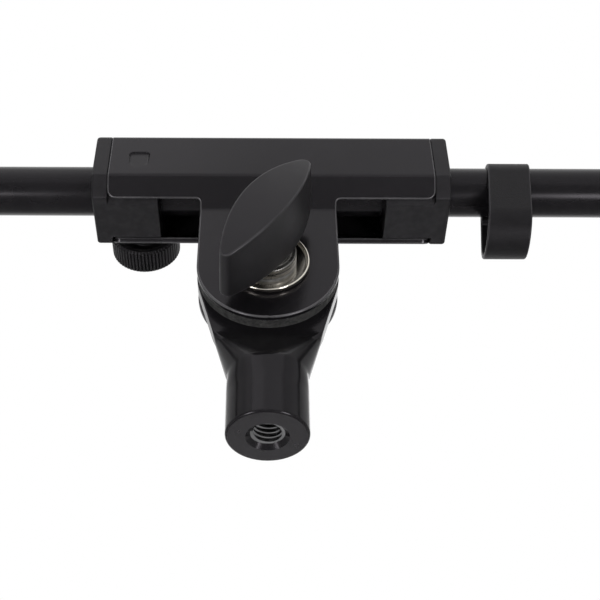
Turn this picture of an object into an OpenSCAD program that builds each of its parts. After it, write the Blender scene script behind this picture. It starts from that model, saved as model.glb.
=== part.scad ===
// Swivel clamp of a microphone boom arm, with its tube, clamp screws and cable clip.
// Millimetres. The origin is the middle of the stand socket's bottom face, +Z up, +X along the boom.
// The boom is carried by a folded sheet channel. Two ears of the channel grip the socket's disc
// between two friction rings, and the wing knob draws the ears together.

/* [Stand socket] */
// Height of the tilt axis above the socket's bottom face
pivot_h = 58.6; // [50:0.1:80]
// Diameter of the round barrel that screws onto the stand
barrel_d = 23.4; // [20:0.1:30]
// Height of the barrel below the neck
barrel_h = 20.2; // [18:0.1:26]
// Height over which the neck thins from the barrel to the disc
neck_taper_h = 14.5; // [8:0.1:16]
// Height of the cone under the square foot of the neck
shoulder_h = 7; // [1:0.1:9]
// Thickness of the disc between the friction rings
disc_t = 5; // [4:0.1:8]
// Radius of the disc
disc_r = 21.5; // [18:0.1:26]
// Diameter of the stand thread, cut to its outer diameter (3/8 inch)
stand_thread_d = 9.6; // [9.55:0.01:12.8]
// Depth of the stand thread above its mouth
stand_thread_l = 15; // [10:0.1:18]
// Diameter of the countersunk mouth of the stand thread
thread_mouth_d = 12.2; // [11:0.1:16]
// Rounding of the barrel's bottom edge
barrel_edge_r = 0.9; // [0.4:0.1:1.4]

/* [Clutch] */
// Thickness of each fibre friction ring
ring_t = 3.16; // [2:0.02:4]
// How far the friction rings stay inside the disc's edge
ring_inset = 0.3; // [0:0.1:1]
// Inner diameter of the friction rings
ring_bore_d = 18; // [14:0.5:24]
// Diameter of the pivot bolt
bolt_d = 8; // [6:0.5:10]
// Radial clearance of every turning or sliding fit
fit_gap = 0.05; // [0.02:0.01:0.09]
// Wall of the bearing bush in the disc
bush_wall = 1.5; // [1:0.1:2.5]
// Diameter of the pivot bolt's domed head
bolt_head_d = 20; // [14:0.5:24]
// Height of the pivot bolt's domed head
bolt_head_h = 4.6; // [3:0.1:6]
// Clearance between the bolt's square neck and its hole
square_gap = 0.1; // [0.05:0.01:0.3]

/* [Channel] */
// Thickness of the folded sheet
sheet_t = 2; // [1.5:0.1:2.4]
// Length of the channel along the boom
channel_l = 103.6; // [90:0.2:130]
// Distance of the channel's middle from the tilt axis along the boom
channel_shift = 1; // [-3:0.1:3]
// Outer width of the channel across the boom
channel_w = 29.44; // [27:0.02:32]
// Height of the boom's axis above the tilt axis
boom_rise = 40.6; // [40:0.1:46]
// Height of the channel's top above the boom's axis
channel_top = 11.5; // [10.8:0.1:13]
// Depth of the upright walls below the boom's axis
wall_drop = 8.4; // [6:0.1:9]
// Depth of the channel's lips below the boom's axis
lip_drop = 14.1; // [13:0.1:15]
// Angle between the turned-in lips and the upright walls
lip_angle = 40.2; // [36:0.1:44]
// Outer radius of the channel's folds
fold_r = 2.5; // [2.4:0.1:3.5]
// Inner radius of the bend from the lips to the ears
ear_bend_r = 1.2; // [0.5:0.1:2]
// Radius of the ears
ear_r = 21.5; // [18:0.1:24]
// Rounding where the ears leave the lips
ear_root_r = 1.8; // [0.5:0.1:3]
// Rounding of the channel's lower corners
lip_corner_r = 2.6; // [1:0.1:4]

/* [End caps] */
// Thickness of the end caps' flanges
flange_t = 4.8; // [3:0.1:7]
// Length of the left cap's block inside the channel
left_block_l = 16; // [14:0.1:22]
// Length of the right cap's block inside the channel
right_block_l = 15.5; // [12:0.1:22]
// Clearance between the blocks and the sheet
block_gap = 0.15; // [0.05:0.01:0.4]
// Rounding of the flanges' lower corners
flange_corner_r = 1.2; // [0.4:0.1:2]
// Diameter of the pressed dimple that holds the left cap
dimple_d = 8.4; // [5:0.1:10]
// Depth of the pressed dimple
dimple_h = 0.8; // [0.4:0.1:1.2]

/* [Boom] */
// Outer diameter of the boom tube
tube_d = 16; // [14:0.1:17]
// Wall of the boom tube
tube_wall = 1.2; // [0.8:0.1:2]
// Length of the boom tube
tube_l = 460; // [380:5:800]
// Length of the boom tube behind the tilt axis
tube_back = 150; // [110:5:200]
// Head diameter of the rear plug
plug_d = 19; // [18.5:0.1:24]
// Head thickness of the rear plug
plug_head_t = 7; // [3:0.1:12]
// Length of the plug's and the stud's spigots inside the tube
spigot_l = 16; // [10:0.5:30]
// Clearance between the spigots and the tube
spigot_gap = 0.03; // [0.01:0.01:0.1]

/* [Microphone stud] */
// Outer diameter of the stud's thread (3/8 inch)
stud_d = 9.5; // [8:0.1:12]
// Length of the threaded stud beyond its collar
stud_l = 20; // [16:0.5:30]
// Thickness of the stud's collar
collar_t = 3; // [2:0.1:6]
// Width of the groove between the lock nut's seat and the free thread
relief_w = 1; // [0.8:0.1:2]
// Depth of that groove
relief_h = 0.5; // [0.3:0.1:1]
// Outer diameter of the lock nut
lock_nut_d = 17; // [14:0.1:22]
// Thickness of the lock nut
lock_nut_t = 5; // [3:0.1:7]
// Number of grooves round the lock nut
lock_nut_grooves = 24; // [12:1:36]

/* [Wing knob] */
// Length of the wing knob from tip to tip
wing_l = 46.5; // [36:0.5:56]
// Width of the wing knob
wing_w = 15; // [14:0.1:20]
// Rounding of the wing knob's tips
wing_tip_r = 2; // [1:0.1:3]
// Height of the wing knob's sides at its tips
wing_side_h = 16.2; // [12:0.1:24]
// How much higher the wing knob is in its middle
wing_crown_h = 3.5; // [2:0.1:8]
// Angle of the wing knob's long axis above the boom's direction
wing_turn = 58; // [0:1:90]
// Gap between the wing knob's back and the channel's wall
wing_gap = 0.6; // [0.4:0.1:3]
// Rounding of the wing knob's edges
wing_edge_r = 0.8; // [0.4:0.1:1.2]
// Diameter of the steel hub in the wing knob
hub_d = 17; // [15.5:0.1:17.5]
// Depth of the hub inside the wing knob
hub_sink = 12; // [8:0.5:13]
// Diameter of the hub's turned neck
hub_neck_d = 14; // [12:0.1:15]
// Length of the hub's turned neck in front of the cup washer
hub_neck_l = 2.2; // [1:0.1:3]

/* [Cup washer] */
// Outer diameter of the cup washer
cup_d = 25; // [20:0.1:30]
// Height of the cup washer's rim
cup_h = 2; // [1.8:0.1:3]
// Sheet thickness of the cup washer
cup_wall = 0.9; // [0.6:0.1:1.2]
// Thickness of the plain washer inside the cup
thrust_t = 1; // [0.6:0.1:1.4]

/* [Thumb screw] */
// Distance of the thumb screw from the channel's left end
thumb_inset = 8.95; // [7.5:0.05:10]
// Diameter of the clamp screw
thumb_screw_d = 6; // [5:0.5:6]
// Outer diameter of the knurled knob
thumb_d = 23; // [18:0.1:25]
// Thickness of the knurled knob
thumb_t = 9.5; // [6:0.05:12]
// Gap between the channel's rear wall and the knurled knob
thumb_gap = 2.63; // [2.2:0.01:4]
// Number of ridges round the knurled knob
thumb_ridges = 60; // [36:1:72]
// Depth of the knurling
knurl_h = 0.45; // [0.2:0.05:0.8]
// Width of the rim round the knurled knob's hollow face
thumb_rim_w = 1.3; // [1:0.1:2]
// Depth of the knurled knob's hollow face
thumb_hollow_h = 2; // [1:0.1:3]
// Diameter of the clinch nut's flange
nut_flange_d = 14; // [12:0.1:16]
// Thickness of the clinch nut's flange
nut_flange_t = 1.6; // [1:0.1:2]
// Diameter of the clinch nut's body in the wall
nut_body_d = 10; // [9:0.1:11]
// Diameter of the pressure pad
pad_d = 8.8; // [7:0.1:9]
// Gap between the pressure pad and the boom tube
pad_gap = 0.2; // [0.1:0.05:0.3]
// Thickness of the pressure pad over the tube's side
pad_t = 2; // [1.2:0.1:2.4]

/* [Cable clip] */
// Gap between the right end cap and the cable clip
clip_gap = 13; // [2:0.1:60]
// Width of the clip along the boom
clip_w = 13.6; // [8:0.1:20]
// Wall of the clip
clip_wall = 1.5; // [1.4:0.1:3]
// Distance between the centres of the clip's two round ends
clip_drop = 17.3; // [12:0.1:30]
// Slant of the clip's two ends
clip_lean = 4.7; // [0:0.1:8]
// How far the two inner ridges reach under the tube from each side
clip_ridge = 1.4; // [0.8:0.1:2]

/* [Hidden] */
$fn = 64;

over = 1;
boom_h = pivot_h + boom_rise;
tube_r = tube_d / 2;
barrel_r = barrel_d / 2;
ear_in = disc_t / 2 + ring_t;
ear_out = ear_in + sheet_t;
wall_out = channel_w / 2;
wall_in = wall_out - sheet_t;
bend_z = -wall_drop;
ear_z = bend_z - (wall_out - ear_out) / tan(lip_angle);
lip_out = wall_out - (lip_drop - wall_drop) * tan(lip_angle);
channel_left = channel_shift - channel_l / 2;
channel_right = channel_shift + channel_l / 2;
thumb_x = channel_left + thumb_inset;
clip_x = channel_right + flange_t + clip_gap;
bush_r = bolt_d / 2 + fit_gap + bush_wall;
cup_face = -ear_out - cup_wall;
hub_face = cup_face - thrust_t;
wing_back = -wall_out - wing_gap;
wing_side = wing_back - wing_side_h;
wing_front = wing_side - wing_crown_h;
thumb_near = wall_out + thumb_gap;
thumb_far = thumb_near + thumb_t;
pad_back = tube_r + pad_gap + pad_t;
tube_front = tube_l - tube_back;
clip_r = tube_r + fit_gap + clip_wall;

// The inward side of a bent line: each corner moved by t along both neighbours' normals
function unit(v) = v / norm(v);
function left_of(v) = [-v[1], v[0]];
function corner_shift(p, q, s, t) =
    let (n1 = left_of(unit(q - p)), n2 = left_of(unit(s - q)))
    q + t * (n1 + n2) / (1 + n1 * n2);

// Points of a rounded corner at q between the lines from p and to s, with radius r
function round_corner(p, q, s, r, steps = 6) =
    let (a = unit(p - q), b = unit(s - q), half = acos(a * b) / 2)
    let (reach = r / tan(half), middle = q + unit(a + b) * r / sin(half))
    let (start = q + a * reach, finish = q + b * reach)
    let (from = atan2(start[1] - middle[1], start[0] - middle[0]))
    let (turn = atan2(finish[1] - middle[1], finish[0] - middle[0]) - from)
    let (sweep = turn > 180 ? turn - 360 : turn < -180 ? turn + 360 : turn)
    [for (i = [0 : steps]) middle + r * [cos(from + sweep * i / steps), sin(from + sweep * i / steps)]];

function reversed(points) = [for (i = [len(points) - 1 : -1 : 0]) points[i]];
function mirrored(points) = [for (p = reversed(points)) [-p[0], p[1]]];

// Outer line of the channel's half section, as [across, height over the boom's axis]
sheet_line = [[0, channel_top], [wall_out, channel_top], [wall_out, bend_z], [ear_out, ear_z],
    [ear_out, -boom_rise - ear_r - over]];
inner_line = [
    [0, channel_top - sheet_t],
    corner_shift(sheet_line[0], sheet_line[1], sheet_line[2], -sheet_t),
    corner_shift(sheet_line[1], sheet_line[2], sheet_line[3], -sheet_t),
    corner_shift(sheet_line[2], sheet_line[3], sheet_line[4], -sheet_t),
    [ear_in, -boom_rise - ear_r - over]];
outer_bends = concat(
    round_corner(sheet_line[0], sheet_line[1], sheet_line[2], fold_r),
    round_corner(sheet_line[1], sheet_line[2], sheet_line[3], fold_r),
    round_corner(sheet_line[2], sheet_line[3], sheet_line[4], ear_bend_r),
    [sheet_line[4]]);
inner_bends = concat(
    round_corner(inner_line[0], inner_line[1], inner_line[2], fold_r - sheet_t),
    round_corner(inner_line[1], inner_line[2], inner_line[3], fold_r - sheet_t),
    round_corner(inner_line[2], inner_line[3], inner_line[4], ear_bend_r + sheet_t),
    [inner_line[4]]);

// A shape drawn as [across, up], run along the boom from x0 to x1, seated on the boom's axis
module along_boom(x0, x1) {
    translate([x0, 0, boom_h])
        rotate([90, 0, 90])
            linear_extrude(x1 - x0)
                children();
}

// A shape drawn as [along, up], run across the boom between two distances
module across_boom(y0, y1) {
    translate([0, y1, 0])
        rotate([90, 0, 0])
            linear_extrude(y1 - y0)
                children();
}

// A round bar across the boom on the tilt axis
module pivot_bar(r, y0, y1) {
    translate([0, y1, pivot_h])
        rotate([90, 0, 0])
            cylinder(r = r, h = y1 - y0);
}

// A round bar across the boom on the thumb screw's axis
module thumb_bar(r, y0, y1) {
    translate([thumb_x, y0, boom_h])
        rotate([-90, 0, 0])
            cylinder(r = r, h = y1 - y0);
}

// A round bar on the boom's axis
module boom_bar(r, x0, x1) {
    translate([x0, 0, boom_h])
        rotate([0, 90, 0])
            cylinder(r = r, h = x1 - x0);
}

// A ring of shallow round grooves, as a closed outline
module ridged_outline(r, depth, count, steps = 4) {
    polygon([for (i = [0 : count * steps - 1])
        let (a = 360 * i / (count * steps))
        (r - depth * (1 - cos(count * a)) / 2) * [cos(a), sin(a)]]);
}

// Stand socket: a disc that the clutch grips, a tapered neck and a threaded barrel
neck_step = 0.05;
neck_foot = [barrel_r + neck_step, barrel_h - pivot_h];
neck_blend_r = disc_r - 6 * neck_step;
foot_reach = norm(neck_foot);
tangent_angle = atan2(neck_foot[1], neck_foot[0]) + acos(neck_blend_r / foot_reach);
tangent_point = neck_blend_r * [cos(tangent_angle), sin(tangent_angle)];
neck_edge_r = barrel_r * sqrt(2) - 1.6;

module neck_outline() {
    translate([0, pivot_h])
        polygon([neck_foot, tangent_point, [0, 0], [-tangent_point[0], tangent_point[1]],
            [-neck_foot[0], neck_foot[1]], [-neck_foot[0], neck_foot[1] - shoulder_h],
            [neck_foot[0], neck_foot[1] - shoulder_h]]);
}

module neck_side() {
    foot = barrel_h - shoulder_h;
    thin = barrel_h + neck_taper_h;
    polygon([[-barrel_r, foot], [barrel_r, foot], [barrel_r, barrel_h], [disc_t / 2, thin],
        [disc_t / 2, pivot_h], [-disc_t / 2, pivot_h], [-disc_t / 2, thin], [-barrel_r, barrel_h]]);
}

module neck() {
    intersection() {
        across_boom(-2 * barrel_r, 2 * barrel_r) neck_outline();
        translate([-disc_r, 0, 0])
            rotate([90, 0, 90])
                linear_extrude(2 * disc_r)
                    neck_side();
        union() {
            translate([0, 0, barrel_h - shoulder_h])
                cylinder(r1 = barrel_r - neck_step, r2 = neck_edge_r, h = shoulder_h);
            translate([0, 0, barrel_h])
                cylinder(r1 = neck_edge_r, r2 = disc_r + barrel_r, h = pivot_h - barrel_h);
        }
    }
}

module barrel_section() {
    mouth_r = thread_mouth_d / 2;
    thread_r = stand_thread_d / 2;
    difference() {
        union() {
            translate([0, barrel_edge_r]) square([barrel_r, barrel_h - barrel_edge_r]);
            square([barrel_r - barrel_edge_r, barrel_h]);
            translate([barrel_r - barrel_edge_r, barrel_edge_r]) circle(barrel_edge_r);
        }
        translate([-over, -over]) square([over, barrel_h + 2 * over]);
        polygon([[0, -over], [mouth_r + over, -over], [thread_r, mouth_r - thread_r], [0, mouth_r - thread_r]]);
        square([thread_r, mouth_r - thread_r + stand_thread_l]);
    }
}

module stand_socket() {
    color("#26252a")
        difference() {
            union() {
                pivot_bar(disc_r, -disc_t / 2, disc_t / 2);
                difference() {
                    neck();
                    translate([0, 0, -over]) cylinder(r = stand_thread_d / 2, h = barrel_h);
                }
                rotate_extrude() barrel_section();
            }
            pivot_bar(bush_r, -disc_t, disc_t);
        }
}

module pivot_bush() {
    color("#b9a777")
        difference() {
            pivot_bar(bush_r, -disc_t / 2, disc_t / 2);
            pivot_bar(bolt_d / 2 + fit_gap, -disc_t, disc_t);
        }
}

module friction_ring(y0) {
    color("#2f2f2f")
        difference() {
            pivot_bar(disc_r - ring_inset, y0, y0 + ring_t);
            pivot_bar(ring_bore_d / 2, y0 - over, y0 + ring_t + over);
        }
}

module friction_ring_front() {
    friction_ring(-disc_t / 2 - ring_t);
}

module friction_ring_rear() {
    friction_ring(disc_t / 2);
}

// Channel: one sheet folded over the boom, with two round ears that reach down past the clutch
module channel_section() {
    polygon(concat(outer_bends, reversed(inner_bends), mirrored(reversed(inner_bends)), mirrored(outer_bends)));
}

module channel_outline() {
    top = channel_top + over;
    low = -lip_drop;
    left = [channel_left, low];
    right = [channel_right, low];
    corner = [ear_r, low];
    union() {
        translate([0, boom_h])
            polygon(concat(
                [[channel_left, top], [channel_right, top]],
                round_corner([channel_right, top], right, corner, lip_corner_r),
                round_corner(right, corner, [ear_r, -boom_rise], ear_root_r),
                [[ear_r, -boom_rise], [-ear_r, -boom_rise]],
                round_corner([-ear_r, -boom_rise], [-ear_r, low], left, ear_root_r),
                round_corner([-ear_r, low], left, [channel_left, top], lip_corner_r)));
        translate([0, pivot_h]) circle(ear_r, $fn = 128);
    }
}

module dimple(depth_from, depth_to, r) {
    translate([thumb_x, depth_to, boom_h])
        rotate([90, 0, 0])
            cylinder(r = r, h = depth_to - depth_from);
}

module channel() {
    color("#232226")
        difference() {
            union() {
                intersection() {
                    along_boom(channel_left, channel_right) channel_section();
                    across_boom(-wall_out - over, wall_out + over) channel_outline();
                }
                dimple(-wall_in - sheet_t / 2, -wall_in + dimple_h, dimple_d / 2 - dimple_h / 2);
            }
            dimple(-wall_out - over, -wall_out + dimple_h, dimple_d / 2);
            pivot_bar(bolt_d / 2 + 4 * fit_gap, -ear_out - over, 0);
            translate([0, ear_out, pivot_h])
                cube([bolt_d + 2 * square_gap, 2 * sheet_t + 2 * over, bolt_d + 2 * square_gap], center = true);
            thumb_bar(nut_body_d / 2, 0, wall_out + over);
        }
}

// End caps: a flange with the channel's outer outline and a block that fills the channel's end
module flange_outline() {
    lip = [lip_out, -lip_drop];
    top = [wall_out, channel_top];
    side = [wall_out, bend_z];
    half = concat(
        round_corner([0, channel_top], top, side, fold_r),
        round_corner(top, side, lip, flange_corner_r),
        round_corner(side, lip, [0, -lip_drop], flange_corner_r));
    polygon(concat(half, mirrored(half)));
}

module block_outline() {
    gap = block_gap;
    top = [wall_in - gap, channel_top - sheet_t - gap];
    side = inner_line[2] - [gap, 0];
    slope = unit(inner_line[3] - inner_line[2]);
    foot = side + slope * (side[1] + lip_drop) / -slope[1];
    half = concat(round_corner([0, top[1]], top, side, fold_r - sheet_t), [side, foot]);
    polygon(concat(half, mirrored(half)));
}

module end_cap(x0, x1, block_end) {
    difference() {
        union() {
            along_boom(x0, x1) flange_outline();
            along_boom(min(block_end, x1 - over / 2), max(block_end, x0 + over / 2)) block_outline();
        }
        boom_bar(tube_r + fit_gap, min(x0, block_end) - over, max(x1, block_end) + over);
    }
}

module end_cap_left() {
    color("#1e1e20")
        difference() {
            end_cap(channel_left - flange_t, channel_left, channel_left + left_block_l);
            dimple(-wall_out, -wall_in + dimple_h + block_gap, dimple_d / 2);
            thumb_bar(pad_d / 2 + fit_gap, 0, wall_out);
        }
}

module end_cap_right() {
    color("#1e1e20")
        end_cap(channel_right, channel_right + flange_t, channel_right - right_block_l);
}

// Pivot bolt: domed head, square neck in the rear ear, round shank into the wing knob
module pivot_bolt() {
    dome_r = (pow(bolt_head_d / 2, 2) + pow(bolt_head_h, 2)) / (2 * bolt_head_h);
    color("#8f8f92") {
        pivot_bar(bolt_d / 2, wing_back - hub_sink + over, ear_in);
        translate([0, ear_in + sheet_t / 2, pivot_h])
            cube([bolt_d, sheet_t, bolt_d], center = true);
        intersection() {
            pivot_bar(bolt_head_d / 2, ear_out, ear_out + bolt_head_h + over);
            translate([0, ear_out + bolt_head_h - dome_r, pivot_h]) sphere(dome_r, $fn = 96);
        }
    }
}

module clinch_nut() {
    color("#77777a")
        difference() {
            union() {
                thumb_bar(nut_flange_d / 2, wall_out, wall_out + nut_flange_t);
                thumb_bar(nut_body_d / 2, wall_in, wall_out);
            }
            thumb_bar(thumb_screw_d / 2 + fit_gap, wall_in - over, wall_out + nut_flange_t + over);
        }
}

module cup_washer() {
    color("#c9c3b8")
        difference() {
            pivot_bar(cup_d / 2, -ear_out - cup_h, -ear_out);
            pivot_bar(cup_d / 2 - cup_wall, -ear_out - cup_h - over, cup_face);
            pivot_bar(bolt_d / 2 + 4 * fit_gap, -ear_out - cup_h, 0);
        }
}

module thrust_washer() {
    color("#3a3a3c")
        difference() {
            pivot_bar(hub_d / 2, hub_face, cup_face);
            pivot_bar(bolt_d / 2 + 4 * fit_gap, hub_face - over, cup_face + over);
        }
}

// Wing knob: a leaf outline with a crowned front
wing_tip = [wing_l / 2 - wing_tip_r, 0];
wing_arc_r = (pow(wing_tip[0], 2) + pow(wing_w / 2, 2) - pow(wing_tip_r, 2)) / (wing_w - 2 * wing_tip_r);
wing_arc_drop = wing_arc_r - wing_w / 2;
wing_arc_half = atan2(wing_tip[0], wing_arc_drop);
crown_r = (pow(wing_l / 2, 2) + pow(wing_crown_h, 2)) / (2 * wing_crown_h);

module leaf_outline(inset = 0) {
    r = wing_arc_r - inset;
    side = [for (i = [-12 : 12])
        let (a = 90 - wing_arc_half * i / 12)
        [r * cos(a), r * sin(a) - wing_arc_drop]];
    tip_turn = wing_arc_half - 90;
    tip = [for (i = [1 : 7])
        let (a = 90 - wing_arc_half - (180 - 2 * wing_arc_half) * i / 8)
        [wing_tip[0] + (wing_tip_r - inset) * cos(a), (wing_tip_r - inset) * sin(a)]];
    half = concat(side, tip);
    polygon(concat(half, -half));
}

module leaf_slab(inset, y0, y1) {
    translate([0, y1, 0])
        rotate([90, 0, 0])
            linear_extrude(y1 - y0)
                leaf_outline(inset);
}

module wing_knob() {
    color("#202024")
        translate([0, 0, pivot_h])
            rotate([0, -wing_turn, 0])
                difference() {
                    intersection() {
                        union() {
                            leaf_slab(0, wing_front - over, wing_back - wing_edge_r);
                            leaf_slab(wing_edge_r, wing_front - over, wing_back);
                        }
                        translate([0, wing_front + crown_r, -wing_w])
                            cylinder(r = crown_r, h = 2 * wing_w, $fn = 128);
                    }
                    translate([0, wing_back + over, 0])
                        rotate([90, 0, 0])
                            cylinder(r = hub_neck_d / 2, h = hub_sink + over);
                }
}

// Steel hub: thread bush in the wing knob, with a collar that runs on the cup's washer
module knob_hub() {
    color("#6f6f73")
        difference() {
            union() {
                pivot_bar(hub_d / 2, wing_back + hub_neck_l, hub_face);
                pivot_bar(hub_neck_d / 2, wing_back - hub_sink, wing_back + hub_neck_l + over / 2);
            }
            pivot_bar(bolt_d / 2 + fit_gap, wing_back - hub_sink + over / 2, hub_face + over);
        }
}

module pressure_pad() {
    color("#a98d57")
        difference() {
            thumb_bar(pad_d / 2, tube_r / 2, pad_back);
            boom_bar(tube_r + pad_gap, thumb_x - pad_d, thumb_x + pad_d);
        }
}

// Knurled knob of the thumb screw, hollow on the side that faces the channel
module thumb_knob() {
    r = thumb_d / 2;
    edge = knurl_h + 0.35;
    color("#1d1d1f")
        translate([thumb_x, thumb_near, boom_h])
            rotate([-90, 0, 0])
                difference() {
                    union() {
                        translate([0, 0, edge])
                            linear_extrude(thumb_t - 2 * edge)
                                ridged_outline(r, knurl_h, thumb_ridges);
                        cylinder(r1 = r - edge, r2 = r - knurl_h - 0.1, h = edge);
                        translate([0, 0, thumb_t - edge])
                            cylinder(r1 = r - knurl_h - 0.1, r2 = r - edge, h = edge);
                    }
                    difference() {
                        translate([0, 0, -over])
                            cylinder(r = r - edge - thumb_rim_w, h = thumb_hollow_h + over);
                        translate([0, 0, thumb_hollow_h / 4])
                            cylinder(r = thumb_screw_d / 2 + 2.4, h = thumb_hollow_h);
                    }
                    translate([0, 0, -over])
                        cylinder(r = thumb_screw_d / 2, h = thumb_t - thumb_hollow_h + over);
                }
}

module clamp_screw() {
    color("#8a8a8d")
        thumb_bar(thumb_screw_d / 2, pad_back, thumb_far - thumb_hollow_h);
}

module boom_tube() {
    color("#18181a")
        difference() {
            boom_bar(tube_r, -tube_back, tube_front);
            boom_bar(tube_r - tube_wall, -tube_back - over, tube_front + over);
        }
}

// Rear plug: a round head that stops the boom, and a spigot inside the tube
module tube_plug() {
    spigot_r = tube_r - tube_wall - spigot_gap;
    head_edge = 1.2;
    color("#1b1b1d")
        translate([-tube_back, 0, boom_h])
            rotate([0, 90, 0])
                rotate_extrude()
                    difference() {
                        union() {
                            translate([0, -plug_head_t + head_edge])
                                square([plug_d / 2, plug_head_t - head_edge]);
                            translate([0, -plug_head_t]) square([plug_d / 2 - head_edge, plug_head_t]);
                            translate([plug_d / 2 - head_edge, head_edge - plug_head_t])
                                circle(head_edge, $fn = 32);
                            square([spigot_r, spigot_l]);
                        }
                        translate([-over - plug_d, -plug_head_t - over])
                            square([over + plug_d, 2 * plug_head_t + spigot_l]);
                    }
}

// Steel stud at the boom's front end: spigot, collar and thread
module mic_stud() {
    spigot_r = tube_r - tube_wall - spigot_gap;
    tip = 1;
    seat = tube_front + collar_t;
    color("#9a9a9d") {
        boom_bar(spigot_r, tube_front - spigot_l, tube_front);
        boom_bar(tube_r, tube_front, seat);
        difference() {
            boom_bar(stud_d / 2, seat, seat + stud_l - tip);
            difference() {
                boom_bar(stud_d, seat + lock_nut_t, seat + lock_nut_t + relief_w);
                boom_bar(stud_d / 2 - relief_h, seat, seat + stud_l);
            }
        }
        translate([seat + stud_l - tip, 0, boom_h])
            rotate([0, 90, 0])
                cylinder(r1 = stud_d / 2, r2 = stud_d / 2 - tip, h = tip);
    }
}

module lock_nut() {
    color("#858588")
        translate([tube_front + collar_t, 0, boom_h])
            rotate([0, 90, 0])
                difference() {
                    linear_extrude(lock_nut_t)
                        ridged_outline(lock_nut_d / 2, 0.5, lock_nut_grooves, 6);
                    translate([0, 0, -over])
                        cylinder(r = stud_d / 2 + fit_gap, h = lock_nut_t + 2 * over);
                }
}

// Cable clip: a flat loop with slanted ends, and two ridges that keep the tube in its upper end
module clip_loop(r) {
    circle(r, $fn = 96);
    translate([0, -clip_drop]) circle(r, $fn = 96);
    translate([-r, -clip_drop]) square([2 * r, clip_drop]);
}

module cable_clip() {
    inner = tube_r + fit_gap;
    ridge_r = 1.6;
    ridge_z = -sqrt(pow(inner + ridge_r, 2) - pow(inner + ridge_r - clip_ridge, 2));
    color("#222224")
        intersection() {
            along_boom(clip_x - clip_w, clip_x + 2 * clip_w)
                difference() {
                    clip_loop(clip_r);
                    difference() {
                        clip_loop(inner);
                        for (side = [-1, 1])
                            translate([side * (inner + ridge_r - clip_ridge), ridge_z])
                                circle(ridge_r, $fn = 32);
                    }
                }
            translate([clip_x + clip_w / 2, 0, boom_h])
                rotate([0, clip_lean, 0])
                    cube([clip_w * cos(clip_lean), 3 * clip_r, 3 * (clip_r + clip_drop)], center = true);
        }
}

stand_socket();
pivot_bush();
friction_ring_front();
friction_ring_rear();
channel();
end_cap_left();
end_cap_right();
pivot_bolt();
clinch_nut();
cup_washer();
thrust_washer();
wing_knob();
knob_hub();
pressure_pad();
thumb_knob();
clamp_screw();
boom_tube();
tube_plug();
mic_stud();
lock_nut();
cable_clip();
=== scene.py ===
import math

import bpy
from mathutils import Matrix, Vector


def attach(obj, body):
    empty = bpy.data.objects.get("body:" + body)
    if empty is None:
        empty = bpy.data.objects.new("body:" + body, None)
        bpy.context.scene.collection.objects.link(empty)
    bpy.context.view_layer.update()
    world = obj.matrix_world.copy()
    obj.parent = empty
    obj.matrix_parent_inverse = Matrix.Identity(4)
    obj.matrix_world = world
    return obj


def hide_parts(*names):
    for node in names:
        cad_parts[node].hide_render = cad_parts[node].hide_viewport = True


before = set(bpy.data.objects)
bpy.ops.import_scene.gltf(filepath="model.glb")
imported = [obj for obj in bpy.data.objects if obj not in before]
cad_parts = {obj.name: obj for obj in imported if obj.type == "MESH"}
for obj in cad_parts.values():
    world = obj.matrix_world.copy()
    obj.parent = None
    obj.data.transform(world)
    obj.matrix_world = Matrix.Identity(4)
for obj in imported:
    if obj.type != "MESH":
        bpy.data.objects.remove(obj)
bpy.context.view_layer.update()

mm = 0.001
pivotZ = 58.6    # tilt axis above the socket's bottom, in millimetres like every size below
boomZ = 99.2     # boom axis
thumbX = -41.85  # thumb screw's place along the boom
origin = Vector((0, 0, 0))
pivotMiddle = Vector((0, 0, pivotZ))
boomMiddle = Vector((0, 0, boomZ))
thumbMiddle = Vector((thumbX, 0, boomZ))
alongBoom = Vector((1, 0, 0))
acrossBoom = Vector((0, 1, 0))  # the tilt axis and the thumb screw run this way
upright = Vector((0, 0, 1))
broadEdge = (0.4, 3)  # radius and steps of the small rounded corners that turned parts share
softEdge = (0.3, 3)
crispEdge = (0.25, 3)
slimEdge = (0.2, 2)
fineEdge = (0.15, 2)
print("frame loaded")


# Small steps that every piece uses

def deselectAll():
    if bpy.context.object and bpy.context.object.mode == "EDIT":
        bpy.ops.object.mode_set(mode="OBJECT")
    bpy.ops.object.select_all(action="DESELECT")


def makeActive(piece):
    deselectAll()
    piece.select_set(True)
    bpy.context.view_layer.objects.active = piece


def editAll(piece):
    makeActive(piece)
    bpy.ops.object.mode_set(mode="EDIT")
    bpy.ops.mesh.select_all(action="SELECT")


# Points all faces outwards and leaves edit mode
def faceOutwards():
    bpy.ops.mesh.select_all(action="SELECT")
    bpy.ops.mesh.normals_make_consistent(inside=False)
    bpy.ops.object.mode_set(mode="OBJECT")


# Corners are (across, up, radius, steps). A corner with a radius becomes an arc
def roundCorners(corners):
    line = []
    for i, corner in enumerate(corners):
        here = Vector(corner[:2])
        radius = corner[2] if len(corner) > 2 else 0
        steps = corner[3] if len(corner) > 3 else 6
        if radius <= 0:
            line.append(here)
            continue
        back = (Vector(corners[i - 1][:2]) - here).normalized()
        ahead = (Vector(corners[(i + 1) % len(corners)][:2]) - here).normalized()
        half = back.angle(ahead) / 2
        middle = here + (back + ahead).normalized() * radius / math.sin(half)
        spoke = here + back * radius / math.tan(half) - middle
        side = 1 if back.x * ahead.y - back.y * ahead.x < 0 else -1
        for k in range(steps + 1):
            turn = Matrix.Rotation(side * (math.pi - 2 * half) * k / steps, 2)
            line.append(middle + turn @ spoke)
    return line


# Adds the other half of an outline: -1 mirrors across or up, 1 keeps it
def addMirrored(half, acrossSign, upSign):
    return half + [(acrossSign * corner[0], upSign * corner[1], *corner[2:]) for corner in reversed(half)]


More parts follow.
